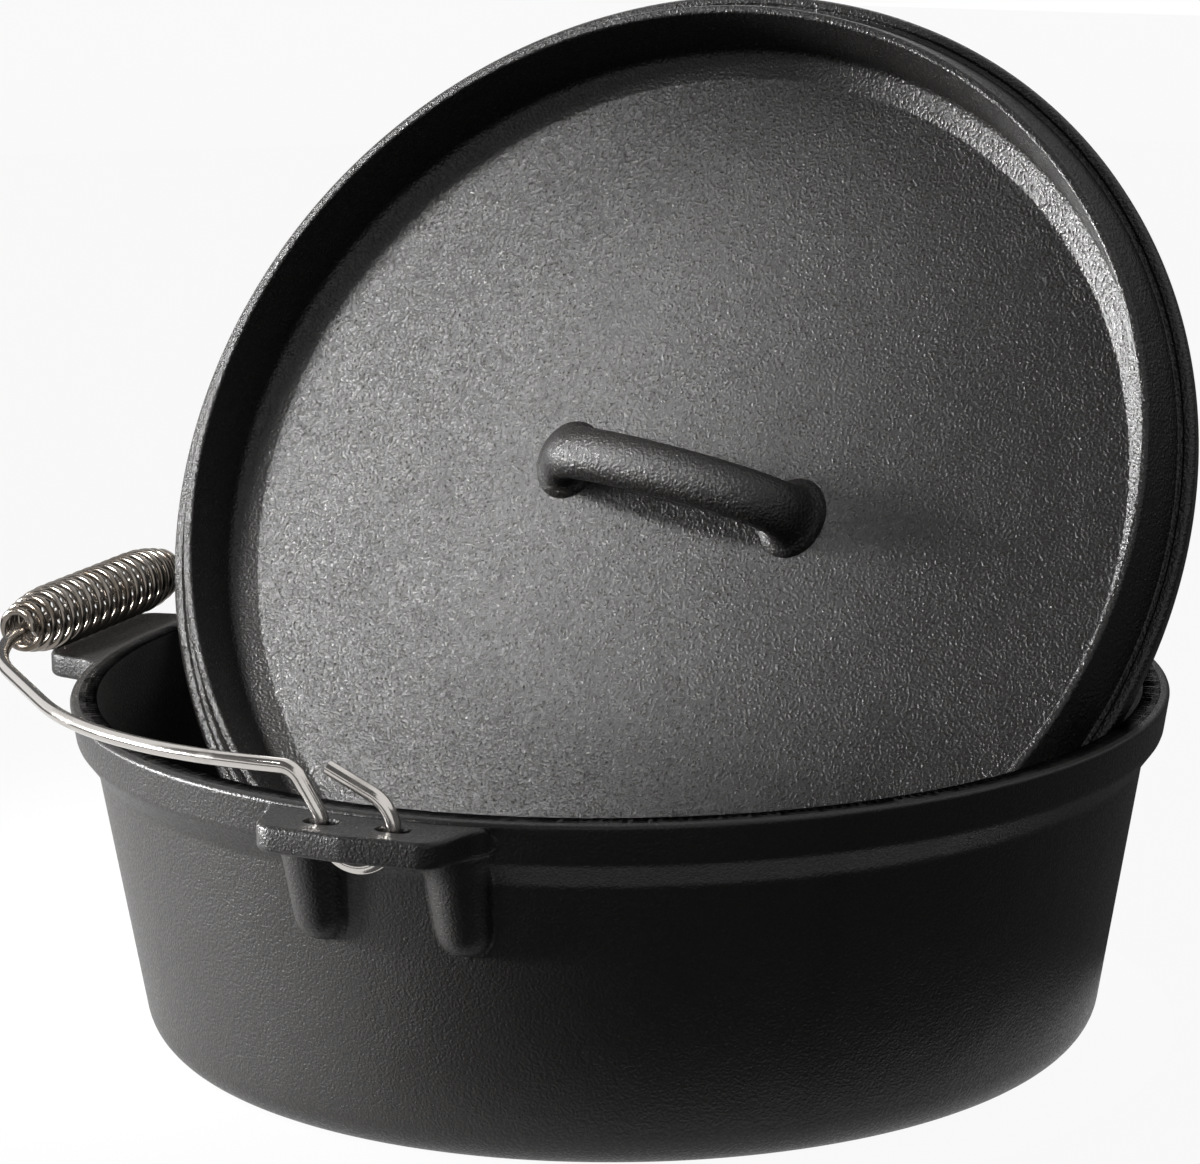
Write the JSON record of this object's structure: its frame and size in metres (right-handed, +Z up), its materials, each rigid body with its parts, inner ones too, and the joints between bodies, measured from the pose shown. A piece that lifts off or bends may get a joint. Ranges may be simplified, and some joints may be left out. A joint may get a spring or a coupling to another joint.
{
  "type": "flat-bottom dutch oven",
  "caption": "Cast-iron cooking pot with a flat base, a flanged lid leaning in its mouth, and a wire bail with a coil grip that swings up to carry it",
  "frame": {"origin": "centre of the flat base, on the surface that the pot stands on", "axes": "+Z up, Y through the two ears, -X towards the rest tab that the bail lies on; the lid leans back towards +Y"},
  "size_m": [0.337, 0.346, 0.2822],
  "materials": {
    "iron": "seasoned, satin black, finely pebbled",
    "lid_iron": "seasoned, satin black, coarsely pebbled",
    "wire": "polished wire",
    "spring": "bright spring wire"
  },
  "bodies": {
    "pot": {"pot": "iron"},
    "lid": {"lid": "lid_iron"},
    "bail": {"bail": "wire"},
    "grip": {"grip_spring": "spring"}
  },
  "joints": [
    {"name": "lid_lift", "type": "slide", "parent": "pot", "child": "lid", "axis": [0, 0, 1], "range_m": [0, 0.42]},
    {"name": "bail_swing", "type": "hinge", "parent": "pot", "child": "bail", "pos_m": [0, 0, 0.0975], "axis": [0, 1, 0], "range_deg": [0, 90]},
    {"name": "grip_spin", "type": "hinge", "parent": "bail", "child": "grip", "pos_m": [-0.1712, 0, 0.108], "axis": [0, 1, 0], "continuous": true}
  ],
  "couplings": [
    {"joint": "bail_swing", "follows": "lid_lift", "rad_per_m": 3.7399}
  ]
}
